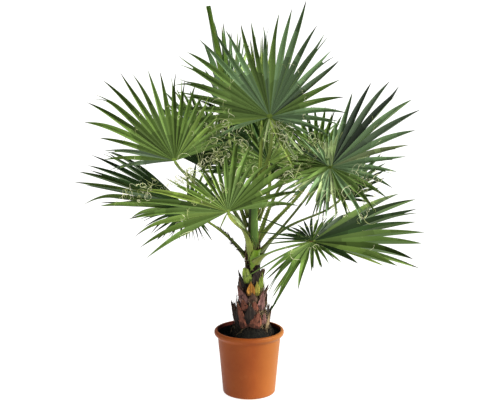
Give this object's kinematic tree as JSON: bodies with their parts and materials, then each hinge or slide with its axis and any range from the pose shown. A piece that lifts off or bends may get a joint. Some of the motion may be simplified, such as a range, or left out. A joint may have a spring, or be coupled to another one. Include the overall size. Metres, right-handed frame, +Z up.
{
  "type": "potted fan palm",
  "caption": "Young fan palm in a round tapered nursery pot: stout trunk clad in cut leaf bases, green crown shaft, and pleated fan fronds on long thorny stalks.",
  "frame": {"origin": "middle of the pot's flat underside", "axes": "+Z up the palm, -Y towards the viewer of the picture, +X to that viewer's right"},
  "size_m": [1.4671, 1.2342, 1.7115],
  "materials": {
    "pot": "satin",
    "soil": "matte",
    "trunk": "matte",
    "stalk": "satin",
    "frond": "satin"
  },
  "bodies": {
    "root": {"pot": "pot", "soil": "soil", "trunk": "trunk", "crown_shaft": "stalk", "stalk_top": "stalk", "stalk_front": "stalk", "stalk_left": "stalk", "stalk_right": "stalk", "stalk_right_low": "stalk", "stalk_left_low": "stalk", "stalk_top_rear": "stalk", "stalk_left_rear": "stalk", "stalk_right_rear": "stalk", "stalk_young": "stalk", "stalk_right_mid": "stalk", "stalk_rear_right": "stalk", "stalk_rear_left": "stalk", "stalk_rear_high": "stalk", "stalk_rear_low": "stalk", "stalk_middle": "stalk", "frond_top": "frond", "frond_front": "frond", "frond_left": "frond", "frond_right": "frond", "frond_right_low": "frond", "frond_left_low": "frond", "frond_top_rear": "frond", "frond_left_rear": "frond", "frond_right_rear": "frond", "frond_young": "frond", "frond_right_mid": "frond", "frond_rear_right": "frond", "frond_rear_left": "frond", "frond_rear_high": "frond", "frond_rear_low": "frond", "frond_middle": "frond"}
  },
  "joints": []
}
